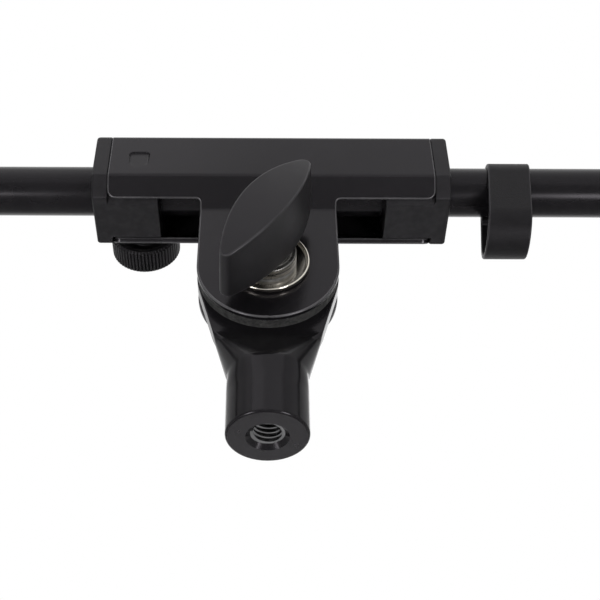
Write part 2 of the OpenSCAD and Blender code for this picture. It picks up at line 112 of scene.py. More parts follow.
# Draws a line point by point: a small plane is merged to one vertex, which is then extruded
def drawLine(points):
    bpy.ops.mesh.merge(type="CENTER")
    bpy.ops.transform.translate(value=points[0] * mm)
    for here, there in zip(points, points[1:]):
        bpy.ops.mesh.extrude_region_move(TRANSFORM_OT_translate={"value": (there - here) * mm})


def traceLine(name, points):
    deselectAll()
    bpy.ops.mesh.primitive_plane_add(size=mm, location=(0, 0, 0))
    piece = bpy.context.object
    piece.name = piece.data.name = name
    bpy.ops.object.mode_set(mode="EDIT")
    bpy.ops.mesh.select_mode(type="VERT")
    bpy.ops.mesh.select_all(action="SELECT")
    drawLine(points)
    bpy.ops.mesh.select_all(action="SELECT")
    return piece


# Fills an outline of 3D points and gives it a thickness along run
def makeSlab(name, points, run):
    piece = traceLine(name, points)
    bpy.ops.mesh.edge_face_add()
    bpy.ops.mesh.extrude_region_move(TRANSFORM_OT_translate={"value": run * mm})
    faceOutwards()
    return piece


# An outline seen from the front, (along, up), that runs across the boom from y0 to y1
def acrossSlab(name, outline, y0, y1):
    return makeSlab(name, [Vector((p[0], y0, p[1])) for p in outline], Vector((0, y1 - y0, 0)))


# An outline seen from the end, (across, up), that runs along the boom from x0 to x1
def alongSlab(name, outline, x0, x1):
    return makeSlab(name, [Vector((x0, p[0], p[1])) for p in outline], Vector((x1 - x0, 0, 0)))


# A square bar round the tilt axis, for the bolt's neck and its hole
def squareBar(name, half, y0, y1):
    corners = [(-half, pivotZ - half), (half, pivotZ - half), (half, pivotZ + half), (-half, pivotZ + half)]
    return acrossSlab(name, corners, y0, y1)


# Turns a closed outline of (along the axis, radius) points round an axis through middle
def turnPiece(name, outline, middle, axis, steps=96):
    out = alongBoom if axis.z else upright
    points = [middle + axis * p[0] + out * p[1] for p in outline]
    piece = traceLine(name, points + points[:1])
    bpy.ops.mesh.spin(steps=steps, angle=math.tau, center=middle * mm, axis=axis)
    bpy.ops.mesh.select_all(action="SELECT")
    bpy.ops.mesh.remove_doubles(threshold=mm * 0.002)
    bpy.ops.mesh.dissolve_degenerate(threshold=mm * 0.001)
    bpy.ops.mesh.delete_loose(use_verts=True, use_edges=True, use_faces=False)
    faceOutwards()
    return piece


# Selects the points, edges or faces that pass a test in millimetres, and stays in edit mode
def selectParts(piece, kind, label, test):
    editAll(piece)
    bpy.ops.mesh.select_mode(type=kind)
    bpy.ops.mesh.select_all(action="DESELECT")
    bpy.ops.object.mode_set(mode="OBJECT")
    for part in getattr(piece.data, label):
        part.select = test(part)
    bpy.ops.object.mode_set(mode="EDIT")


def selectPoints(piece, test):
    selectParts(piece, "VERT", "vertices", lambda point: test(point.co / mm))


# The test gets an edge's two ends
def selectEdges(piece, test):
    def passes(edge):
        return test(*(piece.data.vertices[k].co / mm for k in edge.vertices))

    selectParts(piece, "EDGE", "edges", passes)


# The test gets a face's middle and normal
def selectFaces(piece, test):
    selectParts(piece, "FACE", "polygons", lambda face: test(face.center / mm, face.normal))


def moveBy(piece, step):
    editAll(piece)
    bpy.ops.transform.translate(value=step * mm)
    bpy.ops.object.mode_set(mode="OBJECT")


# Where there is no window, transform.rotate turns the other way, hence the minus
def turnSelected(angle, axis, place):
    bpy.ops.transform.rotate(value=-angle, orient_axis=axis, center_override=place * mm)


def turnBy(piece, angle, axis, place):
    editAll(piece)
    turnSelected(angle, axis, place)
    bpy.ops.object.mode_set(mode="OBJECT")


def scaleSelected(scale, place):
    bpy.ops.transform.resize(value=scale, center_override=place * mm)
    bpy.ops.object.mode_set(mode="OBJECT")


def applyModifier(piece, kind, settings):
    makeActive(piece)
    bpy.ops.object.modifier_add(type=kind)
    modifier = piece.modifiers[-1]
    for key, value in settings.items():
        setattr(modifier, key, value)
    bpy.ops.object.modifier_apply(modifier=modifier.name)


def combine(piece, tool, operation):
    applyModifier(piece, "BOOLEAN", {"operation": operation, "solver": "EXACT", "object": tool})
    bpy.data.objects.remove(tool)


# Drills a round hole along an axis through place, from start to end
def drillHole(piece, radius, start, end, place, axis=acrossBoom, steps=64):
    length = end - start
    outline = [(0, 0), (length, 0), (length, radius), (0, radius)]
    drill = turnPiece("drill", outline, axis * start, axis, steps)
    moveBy(drill, place)
    combine(piece, drill, "DIFFERENCE")


def cleanMesh(piece):
    editAll(piece)
    bpy.ops.mesh.remove_doubles(threshold=mm * 0.003)
    bpy.ops.mesh.dissolve_limited(angle_limit=math.radians(0.2))
    faceOutwards()


# Rounds edges sharper than angle. Of two finishes, the second one goes on the rounded edges; a lighter second
# finish paints a highlight there
def roundEdges(piece, width, angle, finishes=(), segments=3):
    for finish in finishes:
        piece.data.materials.append(finish)
    applyModifier(piece, "BEVEL", {
        "width": width * mm, "segments": segments, "limit_method": "ANGLE", "material": len(finishes) - 1,
        "angle_limit": math.radians(angle), "use_clamp_overlap": False, "miter_outer": "MITER_ARC"})


# Cuts off all of a piece that lies beyond a plane and closes it there
def trimBeyond(piece, place, normal):
    editAll(piece)
    bpy.ops.mesh.bisect(plane_co=place * mm, plane_no=normal, use_fill=True, clear_outer=True,
                        threshold=mm * 0.0005)
    bpy.ops.object.mode_set(mode="OBJECT")


# A screw thread's solid core, by the Screw modifier, standing on Z from low to high
def threadCore(name, inner, outer, pitch, low, high):
    steps = 48
    spare = 1.5  # turns that are trimmed off at each end
    turns = math.ceil((high - low) / pitch) + round(2 * spare)
    crest = [(inner, 0), (inner, 0.12), (outer, 0.44), (outer, 0.56), (inner, 0.88), (inner, 1)]
    start = low - spare * pitch
    piece = traceLine(name, [Vector((r, 0, start + up * pitch)) for r, up in crest])
    bpy.ops.object.mode_set(mode="OBJECT")
    applyModifier(piece, "SCREW", {
        "axis": "Z", "angle": math.tau, "screw_offset": pitch * mm, "iterations": turns,
        "steps": steps, "render_steps": steps, "use_merge_vertices": True,
        "merge_threshold": mm * 0.002, "use_smooth_shade": False})
    editAll(piece)
    bpy.ops.mesh.remove_doubles(threshold=mm * 0.003)
    bpy.ops.mesh.quads_convert_to_tris()
    bpy.ops.object.mode_set(mode="OBJECT")
    trimBeyond(piece, Vector((0, 0, high)), (0, 0, 1))
    trimBeyond(piece, Vector((0, 0, low)), (0, 0, -1))
    editAll(piece)
    faceOutwards()
    return piece


# Shades a piece and puts it in its CAD node's place. Finishes stays empty where roundEdges has put them on
def finishPiece(piece, body, finishes, node, smooth=38):
    makeActive(piece)
    bpy.ops.object.shade_smooth_by_angle(angle=math.radians(smooth))
    applyModifier(piece, "WEIGHTED_NORMAL", {"keep_sharp": True, "weight": 80})
    for finish in finishes:
        piece.data.materials.append(finish)
    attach(piece, body)
    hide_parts(node)
    print("made", piece.name, len(piece.data.polygons))


# Shared effects as node groups

def addNode(tree, kind, place, values=None, **settings):
    node = tree.nodes.new(kind)
    node.location = place
    for key, value in settings.items():
        setattr(node, key, value)
    for key, value in (values or {}).items():
        node.inputs[key].default_value = value
    return node


def newGroup(name, values, results):
    group = bpy.data.node_groups.new(name, "ShaderNodeTree")
    group.interface.new_socket(name="Vector", in_out="INPUT", socket_type="NodeSocketVector")
    for label, value in values.items():
        socket = group.interface.new_socket(name=label, in_out="INPUT", socket_type="NodeSocketFloat")
        socket.default_value = value
    for label in results:
        group.interface.new_socket(name=label, in_out="OUTPUT", socket_type="NodeSocketFloat")
    return group, addNode(group, "NodeGroupInput", (-700, 0)), addNode(group, "NodeGroupOutput", (700, 0))


# Fine moulded or sprayed grain: a height for bump and a mask that follows it
def makeGrainGroup():
    group, entry, leave = newGroup(
        "surfaceGrain", {"Grain Size": 0.3, "Mottle Size": 9, "Roughness Low": 0.3, "Roughness High": 0.4},
        ["Height", "Mask", "Roughness"])
    link = group.links.new
    fineScale = addNode(group, "ShaderNodeMath", (-500, 200), {0: 1 / mm}, operation="DIVIDE")
    broadScale = addNode(group, "ShaderNodeMath", (-500, -100), {0: 1 / mm}, operation="DIVIDE")
    link(entry.outputs["Grain Size"], fineScale.inputs[1])
    link(entry.outputs["Mottle Size"], broadScale.inputs[1])
    fine = addNode(group, "ShaderNodeTexNoise", (-300, 250), {"Detail": 3, "Roughness": 0.55})
    broad = addNode(group, "ShaderNodeTexNoise", (-300, -100), {"Detail": 4})
    for texture, scale in ((fine, fineScale), (broad, broadScale)):
        link(entry.outputs["Vector"], texture.inputs["Vector"])
        link(scale.outputs[0], texture.inputs["Scale"])
    spread = addNode(group, "ShaderNodeMapRange", (0, -100), {"From Min": 0.32, "From Max": 0.68})
    link(broad.outputs["Fac"], spread.inputs["Value"])
    shine = addNode(group, "ShaderNodeMapRange", (250, -250))
    link(spread.outputs["Result"], shine.inputs["Value"])
    link(entry.outputs["Roughness Low"], shine.inputs["To Min"])
    link(entry.outputs["Roughness High"], shine.inputs["To Max"])
    link(fine.outputs["Fac"], leave.inputs["Height"])
    link(spread.outputs["Result"], leave.inputs["Mask"])
    link(shine.outputs["Result"], leave.inputs["Roughness"])
    return group


# Painted edge highlight: a mask that is high on outer edges and broken up by a noise, which lightens them
def makeEdgeHighlightGroup():
    group, entry, leave = newGroup("rubbedEdges", {"Amount": 0.5}, ["Mask"])
    link = group.links.new
    geometry = addNode(group, "ShaderNodeNewGeometry", (-500, 200))
    edge = addNode(group, "ShaderNodeMapRange", (-250, 200), {"From Min": 0.515, "From Max": 0.58})
    link(geometry.outputs["Pointiness"], edge.inputs["Value"])
    breakUp = addNode(group, "ShaderNodeTexNoise", (-500, -100), {"Scale": 450, "Detail": 4})
    link(entry.outputs["Vector"], breakUp.inputs["Vector"])
    patches = addNode(group, "ShaderNodeMapRange", (-250, -100), {"From Min": 0.4, "From Max": 0.65})
    link(breakUp.outputs["Fac"], patches.inputs["Value"])
    both = addNode(group, "ShaderNodeMath", (0, 100), operation="MULTIPLY")
    link(edge.outputs["Result"], both.inputs[0])
    link(patches.outputs["Result"], both.inputs[1])
    scaled = addNode(group, "ShaderNodeMath", (250, 100), operation="MULTIPLY")
    link(both.outputs[0], scaled.inputs[0])
    link(entry.outputs["Amount"], scaled.inputs[1])
    link(scaled.outputs[0], leave.inputs["Mask"])
    return group


# Fine turning marks round the Z axis of the coordinates that come in
def makeTurningGroup():
    group, entry, leave = newGroup("turningMarks", {"Spacing": 0.12}, ["Height", "Mask"])
    link = group.links.new
    parts = addNode(group, "ShaderNodeSeparateXYZ", (-520, 100))
    link(entry.outputs["Vector"], parts.inputs[0])
    flat = addNode(group, "ShaderNodeCombineXYZ", (-360, 200))
    link(parts.outputs["X"], flat.inputs["X"])
    link(parts.outputs["Y"], flat.inputs["Y"])
    radius = addNode(group, "ShaderNodeVectorMath", (-200, 200), operation="LENGTH")
    link(flat.outputs[0], radius.inputs[0])
    depth = addNode(group, "ShaderNodeMath", (-200, 0), operation="ADD")
    link(radius.outputs["Value"], depth.inputs[0])
    link(parts.outputs["Z"], depth.inputs[1])
    perMark = addNode(group, "ShaderNodeMath", (-360, -150), {0: 1 / mm}, operation="DIVIDE")
    link(entry.outputs["Spacing"], perMark.inputs[1])
    marks = addNode(group, "ShaderNodeTexNoise", (150, 100), {"Detail": 2}, noise_dimensions="1D")
    link(depth.outputs[0], marks.inputs["W"])
    link(perMark.outputs[0], marks.inputs["Scale"])
    for label in ("Height", "Mask"):
        link(marks.outputs["Fac"], leave.inputs[label])
    return group


grainGroup = makeGrainGroup()
edgeHighlightGroup = makeEdgeHighlightGroup()
turningGroup = makeTurningGroup()


def newMaterial(name):
    material = bpy.data.materials.new(name)
    material.use_nodes = True
    return material, material.node_tree, material.node_tree.nodes["Principled BSDF"]


# A finish starts with its shader, its Object coordinates and the shared grain in its own sizes
def startFinish(name, settings):
    material, tree, shader = newMaterial(name)
    place = addNode(tree, "ShaderNodeTexCoord", (-1100, 0)).outputs["Object"]
    low, high = settings["roughness"]
    grain = addNode(tree, "ShaderNodeGroup", (-850, 0), {
        "Grain Size": settings["grainSize"], "Mottle Size": settings["mottleSize"],
        "Roughness Low": low, "Roughness High": high}, node_tree=grainGroup)
    tree.links.new(place, grain.inputs["Vector"])
    tree.links.new(grain.outputs["Roughness"], shader.inputs["Roughness"])
    return material, tree, shader, place, grain


def addBump(tree, shader, height, distance):
    bump = addNode(tree, "ShaderNodeBump", (-250, -300), {"Strength": 1, "Distance": distance * mm})
    tree.links.new(height, bump.inputs["Height"])
    tree.links.new(bump.outputs["Normal"], shader.inputs["Normal"])


# Mixes two colours, each a tuple or another node's output. A Mix node's colours are 6, 7 and output 2
def mixColours(tree, place, mask, first, second):
    mix = addNode(tree, "ShaderNodeMix", place, data_type="RGBA")
    tree.links.new(mask, mix.inputs["Factor"])
    for socket, colour in ((mix.inputs[6], first), (mix.inputs[7], second)):
        if isinstance(colour, tuple):
            socket.default_value = (*colour, 1)
        else:
            tree.links.new(colour, socket)
    return mix.outputs[2]


coatTint = (0.98, 0.93, 1, 1)  # the black gloss is a little violet


# Black coats and plastics: two near shades, a grain and outer edges lightened as a painted highlight
def darkFinish(name, base, **changes):
    settings = {**base, **changes}
    material, tree, shader, place, grain = startFinish(name, settings)
    edges = addNode(tree, "ShaderNodeGroup", (-850, 300), {"Amount": settings["rub"]}, node_tree=edgeHighlightGroup)
    tree.links.new(place, edges.inputs["Vector"])
    body = mixColours(tree, (-550, 250), grain.outputs["Mask"], *settings["colour"])
    # Outer edges are mixed towards a lighter colour: a painted highlight
    full = mixColours(tree, (-300, 250), edges.outputs["Mask"], body, settings["edgeHighlightColour"])
    tree.links.new(full, shader.inputs["Base Color"])
    shader.inputs["Specular IOR Level"].default_value = settings["specular"]
    shader.inputs["Specular Tint"].default_value = coatTint
    addBump(tree, shader, grain.outputs["Height"], settings["grainHeight"])
    return material


# Bare or plated metals, with turning marks round an axis through middle
def metalFinish(name, base, **changes):
    settings = {**base, **changes}
    material, tree, shader, place, grain = startFinish(name, settings)
    centred = addNode(tree, "ShaderNodeMapping", (-1050, -250), vector_type="TEXTURE")
    centred.inputs["Location"].default_value = [v * mm for v in settings["middle"]]
    centred.inputs["Rotation"].default_value = settings["turn"]
    tree.links.new(place, centred.inputs["Vector"])
    marks = addNode(tree, "ShaderNodeGroup", (-850, -250), {"Spacing": settings["spacing"]},
                    node_tree=turningGroup)
    tree.links.new(centred.outputs[0], marks.inputs["Vector"])
    body = mixColours(tree, (-550, 250), grain.outputs["Mask"], *settings["colour"])
    tree.links.new(body, shader.inputs["Base Color"])
    shader.inputs["Metallic"].default_value = 1
    addBump(tree, shader, marks.outputs["Height"], settings["markHeight"])
    return material


# Pressed fibre: coarse specks in two shades on a rough ground
def fibreFinish(name, settings):
    material, tree, shader, place, grain = startFinish(name, settings)
    specks = addNode(tree, "ShaderNodeTexVoronoi", (-850, 350), {"Scale": 1 / mm / settings["speckSize"]})
    tree.links.new(place, specks.inputs["Vector"])
    spread = addNode(tree, "ShaderNodeMapRange", (-650, 350), {"From Min": 0.1, "From Max": 0.6})
    tree.links.new(specks.outputs["Distance"], spread.inputs["Value"])
    dark, light, ground = settings["colour"]
    body = mixColours(tree, (-450, 250), spread.outputs["Result"], dark, light)
    full = mixColours(tree, (-250, 250), grain.outputs["Mask"], body, ground)
    tree.links.new(full, shader.inputs["Base Color"])
    addBump(tree, shader, grain.outputs["Height"], settings["grainHeight"])
    return material


# The lighter edge colour here is a painted highlight on outer edges, used where its amount is above 0
blackCoat = {"colour": [(0.0052, 0.0048, 0.0056), (0.0068, 0.0064, 0.0072)], "edgeHighlightColour": (0.02, 0.02, 0.021),
             "rub": 0, "mottleSize": 11, "grainSize": 0.7, "grainHeight": 0.006}
castingFinish = darkFinish("blackCasting", blackCoat, specular=0.24, roughness=(0.15, 0.20))
# The socket's bottom face gets lightened outer edges: a painted highlight
faceFinish = darkFinish("blackFace", blackCoat, specular=0.55, roughness=(0.26, 0.32), rub=0.5)
sheetFinish = darkFinish("blackSheet", blackCoat, specular=0.30, roughness=(0.17, 0.22), grainSize=0.8,
                         grainHeight=0.004)
# A lighter finish for the channel's rounded edges: a painted highlight
sheetEdge = darkFinish("sheetEdge", blackCoat, colour=[(0.040, 0.039, 0.041), (0.065, 0.064, 0.066)],
                       specular=0.6, roughness=(0.22, 0.30), grainSize=0.8, grainHeight=0.004)
tubeFinish = darkFinish("blackTube", blackCoat, specular=0.22, roughness=(0.20, 0.26), grainSize=0.5,
                        grainHeight=0.002)

# The lighter edge colour here is a painted highlight on outer edges, used where its amount is above 0
blackMould = {"colour": [(0.0060, 0.0058, 0.0063), (0.0085, 0.0082, 0.0090)],
              "edgeHighlightColour": (0.018, 0.018, 0.019), "rub": 0, "mottleSize": 6, "specular": 0.34}
# The caps get lightened outer edges: a painted highlight
capFinish = darkFinish("capPlastic", blackMould, specular=0.29, roughness=(0.38, 0.48), rub=0.6,
                       grainSize=0.28, grainHeight=0.02)
# A lighter finish for the wing knob's rounded edges: a painted highlight
knobEdge = darkFinish("knobEdge", blackMould, colour=[(0.022, 0.0215, 0.023), (0.034, 0.033, 0.035)],
                      roughness=(0.34, 0.42), grainSize=0.25, grainHeight=0.006)
knobFinish = darkFinish("knobPlastic", blackMould, roughness=(0.42, 0.50), grainSize=0.25, grainHeight=0.010)
clipFinish = darkFinish("clipPlastic", blackMould, specular=0.18, roughness=(0.42, 0.52), grainSize=0.36,
                        grainHeight=0.09)
# A lighter finish for the cable clip's rounded edges: a painted highlight
clipEdge = darkFinish("clipEdge", blackMould, colour=[(0.016, 0.0155, 0.0165), (0.026, 0.025, 0.027)],
                      roughness=(0.4, 0.5), grainSize=0.36, grainHeight=0.05)
# The nylon washer gets lightened outer edges: a painted highlight
nylonFinish = darkFinish("greyNylon", blackMould, colour=[(0.10, 0.10, 0.098), (0.13, 0.13, 0.127)],
                         roughness=(0.4, 0.5), rub=0.6, grainSize=0.3, grainHeight=0.008)

acrossTurn = (math.radians(90), 0, 0)
alongTurn = (0, math.radians(90), 0)
steel = {"colour": [(0.42, 0.41, 0.40), (0.52, 0.51, 0.50)], "roughness": (0.24, 0.34), "mottleSize": 4,
         "grainSize": 0.4, "spacing": 0.14, "markHeight": 0.006, "middle": pivotMiddle, "turn": acrossTurn}
nickelFinish = metalFinish("nickelPlate", steel, colour=[(0.74, 0.70, 0.62), (0.82, 0.78, 0.70)],
                           roughness=(0.10, 0.16), markHeight=0.002)
hubFinish = metalFinish("hubSteel", steel, colour=[(0.14, 0.135, 0.13), (0.24, 0.235, 0.225)], spacing=0.5,
                        markHeight=0.0012)
thumbSteel = metalFinish("thumbSteel", steel, middle=thumbMiddle)
studFinish = metalFinish("studSteel", steel, middle=boomMiddle, turn=alongTurn)
bronzeFinish = metalFinish("bearingBronze", steel, colour=[(0.45, 0.27, 0.13), (0.52, 0.33, 0.17)])
brassFinish = metalFinish("padBrass", steel, colour=[(0.60, 0.43, 0.19), (0.66, 0.49, 0.24)],
                          middle=thumbMiddle)
threadFinish = metalFinish("cutThread", steel, colour=[(0.20, 0.20, 0.204), (0.32, 0.32, 0.325)],
                           roughness=(0.12, 0.2), middle=origin, turn=(0, 0, 0))
fibreMaterial = fibreFinish("frictionFibre", {
    "colour": [(0.016, 0.016, 0.016), (0.046, 0.045, 0.044), (0.009, 0.009, 0.009)],
    "roughness": (0.75, 0.95), "grainSize": 0.35, "mottleSize": 1.6, "speckSize": 0.5, "grainHeight": 0.12})
print("materials ready")


# Stand socket: a lofted barrel and neck, a flat disc that the clutch grips, and a cut thread
socketSizes = {
    "barrel": 11.7, "blendLow": 12.2, "foot": 20.2, "thinZ": 34.7, "thin": 2.5, "inset": 0.02, "soft": 0.5,
    "loftTop": 37.2, "discSink": 0.6, "spread": 0.2763, "draft": 0.16, "footRound": 10.5, "roundShare": 0.897,
    "roundLead": 1.7, "roundGap": 0.003, "blendRings": 10, "neckRings": 20, "arcSteps": 12,
    "disc": 21.5, "discSteps": 72, "discEdge": 0.35, "bottomRound": 0.9, "bushHole": 5.55,
    "mouth": 6.1, "mouthDepth": 1.3, "threadOuter": 4.77, "threadInner": 4.02, "pitch": 1.5875,
    "threadLow": 0.4, "threadShows": 0.9, "threadTop": 15.8}


# A level outline of the neck: round below, then square with drafted flanks, thin at the disc
def neckSection(height):
    s = socketSizes
    blend = min(1, max(0, (height - s["blendLow"]) / (s["foot"] - s["blendLow"])))
    square = blend * blend * (3 - 2 * blend)
    over = max(0, height - s["foot"])
    halfX = s["barrel"] + over * s["spread"]
    slope = (s["barrel"] - s["thin"]) / (s["thinZ"] - s["foot"])
    left = s["barrel"] - over * slope - s["thin"]
    halfY = s["thin"] - s["inset"] + s["soft"] * math.log(1 + math.exp(left / s["soft"]))
    if height <= s["foot"]:
        halfY = s["barrel"]
    cornerX = halfX - s["draft"] * max(0, halfY - s["thin"]) * square
    radius = (s["barrel"] - s["roundGap"]) * (1 - square) + s["footRound"] * square
    if height > s["foot"]:
        lead = s["roundLead"]
        thinning = (height - s["thinZ"] + lead) / (s["loftTop"] - s["discSink"] - s["thinZ"] + lead)
        thinning = min(1, max(0, thinning))
        radius = min(s["footRound"], s["roundShare"] * halfY) * (1 - thinning) + s["discEdge"] * thinning
    steps = s["arcSteps"]
    half = [(halfX, 0), (cornerX, halfY, radius, steps), (-cornerX, halfY, radius, steps)]
    outline = roundCorners(half + [(-c[0], -c[1], *c[2:]) for c in half])
    return [Vector((p.x, p.y, height)) for p in outline + outline[:1]]


def loftNeck():
    s = socketSizes
    lower, upper = s["foot"] - s["blendLow"], s["loftTop"] - s["foot"]
    heights = [0] + [s["blendLow"] + lower * k / s["blendRings"] for k in range(s["blendRings"] + 1)]
    heights += [s["foot"] + upper * k / s["neckRings"] for k in range(1, s["neckRings"] + 1)]
    piece = traceLine("standSocket", neckSection(heights[0]))
    for height in heights[1:]:
        bpy.ops.mesh.select_all(action="DESELECT")
        bpy.ops.mesh.primitive_plane_add(size=mm, location=(0, 0, 0))
        drawLine(neckSection(height))
    bpy.ops.mesh.select_all(action="SELECT")
    bpy.ops.mesh.remove_doubles(threshold=mm * 0.002)
    bpy.ops.mesh.select_mode(type="EDGE")
    bpy.ops.mesh.select_all(action="SELECT")
    bpy.ops.mesh.bridge_edge_loops(type="SINGLE")
    bpy.ops.mesh.select_all(action="SELECT")
    bpy.ops.mesh.remove_doubles(threshold=mm * 0.02)
    bpy.ops.mesh.select_all(action="DESELECT")
    bpy.ops.mesh.select_non_manifold()
    bpy.ops.mesh.edge_face_add()
    bpy.ops.mesh.select_all(action="SELECT")
    bpy.ops.mesh.fill_holes(sides=0)
    faceOutwards()
    return piece


# The flat disc, with straight flanks that run from its rim down into the neck
def makeDisc():
    s = socketSizes
    lowZ = s["loftTop"] - s["discSink"]
    reach = s["barrel"] + (lowZ - s["foot"]) * s["spread"]
    away = math.hypot(s["barrel"], s["foot"] - pivotZ)
    start = math.asin((s["foot"] - pivotZ) / away) + math.acos(s["disc"] / away)
    outline = [(-reach, lowZ), (reach, lowZ)]
    for k in range(s["discSteps"] + 1):
        turn = start + (math.pi - 2 * start) * k / s["discSteps"]
        outline.append((s["disc"] * math.cos(turn), pivotZ + s["disc"] * math.sin(turn)))
    disc = acrossSlab("socketDisc", outline, -s["thin"], s["thin"])
    roundEdges(disc, s["discEdge"], 60)
    return disc


def makeSocket():
    s = socketSizes
    piece = loftNeck()
    combine(piece, makeDisc(), "UNION")
    drillHole(piece, s["bushHole"], -4, 4, pivotMiddle)
    rim = s["barrel"] - s["bottomRound"]
    selectEdges(piece, lambda a, b: max(a.z, b.z) < 0.01 and min(a.xy.length, b.xy.length) > rim)
    bpy.ops.mesh.bevel(offset=s["bottomRound"] * mm, segments=5, affect="EDGES")
    bpy.ops.object.mode_set(mode="OBJECT")
    top = s["mouthDepth"]
    mouth = turnPiece("threadMouth", [(-1, 0), (-1, s["mouth"] + 1), (top, s["mouth"] - top), (top, 0)],
                      origin, upright, 64)
    combine(piece, mouth, "DIFFERENCE")
    core = threadCore("threadCore", s["threadInner"], s["threadOuter"], s["pitch"], s["threadLow"],
                      s["threadTop"])
    combine(piece, core, "DIFFERENCE")
    finishPiece(piece, "socket", [castingFinish, threadFinish, faceFinish], "stand_socket")
    boreSlack, levelSlack = 0.05, 0.1
    for face in piece.data.polygons:
        middle = face.center / mm
        inBore = math.hypot(middle.x, middle.y) < s["threadOuter"] + boreSlack
        if inBore and s["threadShows"] < middle.z < s["threadTop"] + levelSlack:
            face.material_index = 1
        elif middle.z < levelSlack and face.normal.z < -0.95:
            face.material_index = 2


# Channel: cut from flat sheet, folded step by step, then given its thickness, holes and dimple
channelSizes = {
    "left": -50.8, "right": 52.8, "halfWidth": 14.72, "sheet": 2, "top": 11.5, "wallDrop": 8.4,
    "lipDrop": 14.1, "lipAngle": 40.2, "earOut": 7.66, "ear": 21.5, "earSteps": 28, "foldRound": 2.5,
    "earBend": 2, "earRoot": 1.3, "lipCorner": 2.6, "edgeRound": 0.5, "holeEdge": 0.3, "boltHole": 4.2,
    "squareHole": 8.2, "nutHole": 5, "dimpleWide": 6.6, "dimpleHigh": 7.6, "dimpleDrop": 1.3,
    "dimpleDepth": 0.7, "dimpleTilt": 4.6, "dimpleShift": 0.6, "dimpleFoot": (3.2, 8),
    "dimpleHead": (1.4, 5), "pressRound": 0.8, "bossRound": 0.45, "bossShrink": 0.05, "bossRise": 0.9}
pastWall = 20  # how far a drill reaches from the boom's middle, past both walls


# Where the flat sheet is bent: (distance from its middle line, angle) for each small step of each fold
def foldSteps():
    c = channelSizes
    lip = math.radians(c["lipAngle"])
    lean = c["halfWidth"] - c["earOut"]
    earTop = -c["wallDrop"] - lean / math.tan(lip)
    folds = [(c["halfWidth"], math.pi / 2, c["foldRound"], 8),
             (c["top"] + c["wallDrop"], lip, c["foldRound"], 5),
             (lean / math.sin(lip), -lip, c["earBend"], 5)]
    reach = before = 0
    steps = []
    for straight, angle, radius, count in folds:
        tangent = radius * math.tan(abs(angle) / 2)
        reach += straight - before - tangent
        chord = 2 * radius * math.sin(abs(angle) / 2 / count)
        for k in range(count + 1):
            steps.append((reach + k * chord, angle / count * (0.5 if k in (0, count) else 1)))
        reach += count * chord
        before = tangent
    pivotReach = reach + (boomZ - pivotZ) + earTop - before
    lipReach = steps[-1][0] - count * chord - (-earTop - c["lipDrop"]) / math.cos(lip) + before
    return steps, pivotReach, lipReach


def foldSheet():
    c = channelSizes
    steps, pivotReach, lipReach = foldSteps()
    earEnd = pivotReach + c["ear"]
    half = [(c["left"], lipReach, c["lipCorner"]), (-c["ear"], lipReach, c["earRoot"]),
            (-c["ear"], earEnd, c["ear"], c["earSteps"]), (c["ear"], earEnd, c["ear"], c["earSteps"]),
            (c["ear"], lipReach, c["earRoot"]), (c["right"], lipReach, c["lipCorner"])]
    top = boomZ + c["top"]
    flat = roundCorners(addMirrored(half, 1, -1))
    piece = traceLine("foldedChannel", [Vector((p.x, p.y, top)) for p in flat])
    bpy.ops.mesh.edge_face_add()
    for reach, _ in steps:
        for side in (-1, 1):
            bpy.ops.mesh.select_all(action="SELECT")
            bpy.ops.mesh.bisect(plane_co=(0, side * reach * mm, 0), plane_no=(0, 1, 0), threshold=mm * 0.001)
    near = 0.001  # how far off a bend or the flat a point still belongs to it
    for reach, angle in reversed(steps):
        for side in (-1, 1):
            selectPoints(piece, lambda p: side * p.y > reach + near or (side * p.y > 0 and p.z < top - near))
            turnSelected(-side * angle, "X", Vector((0, side * reach, top)))
    faceOutwards()
    if max(face.normal.z for face in piece.data.polygons) < 0.9:  # an open sheet can come out inside out
        editAll(piece)
        bpy.ops.mesh.flip_normals()
        bpy.ops.object.mode_set(mode="OBJECT")
    applyModifier(piece, "SOLIDIFY", {"thickness": c["sheet"] * mm, "offset": -1, "use_even_offset": True})
    return piece


# The small press mark in the front wall, which stands out a little on the inside
def pressDimple(piece):
    c = channelSizes
    wall, depth = -c["halfWidth"], c["dimpleDepth"]
    wide, high = c["dimpleWide"] / 2, c["dimpleHigh"] / 2
    x, z = thumbX + c["dimpleShift"], boomZ - c["dimpleDrop"]
    tilt = -math.radians(c["dimpleTilt"])
    tab = roundCorners([(x - wide, z - high, *c["dimpleFoot"]), (x + wide, z - high, *c["dimpleFoot"]),
                        (x + wide, z + high, *c["dimpleHead"]), (x - wide, z + high, *c["dimpleHead"])])
    press = acrossSlab("dimplePress", tab, wall - 3, wall + depth)
    roundEdges(press, c["pressRound"], 60, segments=4)
    turnBy(press, tilt, "X", Vector((0, wall + depth, z + high)))
    shrink = c["bossShrink"]
    inner = [(p.x * (1 - shrink) + x * shrink, p.y * (1 - shrink) + z * shrink) for p in tab]
    boss = acrossSlab("dimpleBoss", inner, wall + 1, wall + c["sheet"] + depth * c["bossRise"])
    roundEdges(boss, c["bossRound"], 60)
    turnBy(boss, tilt, "X", Vector((0, wall + c["sheet"] + depth, z + high)))
    combine(piece, boss, "UNION")
    combine(piece, press, "DIFFERENCE")


def makeChannel():
    c = channelSizes
    piece = foldSheet()
    # The rounded edges get the lighter edge finish, a painted highlight
    roundEdges(piece, c["edgeRound"], 60, [sheetFinish, sheetEdge])
    pressDimple(piece)
    drillHole(piece, c["boltHole"], -pastWall, 0, pivotMiddle)
    combine(piece, squareBar("squareHole", c["squareHole"] / 2, 1, pastWall), "DIFFERENCE")
    drillHole(piece, c["nutHole"], 0, pastWall, thumbMiddle)
    roundEdges(piece, c["holeEdge"], 60)
    finishPiece(piece, "channel", [], "channel")


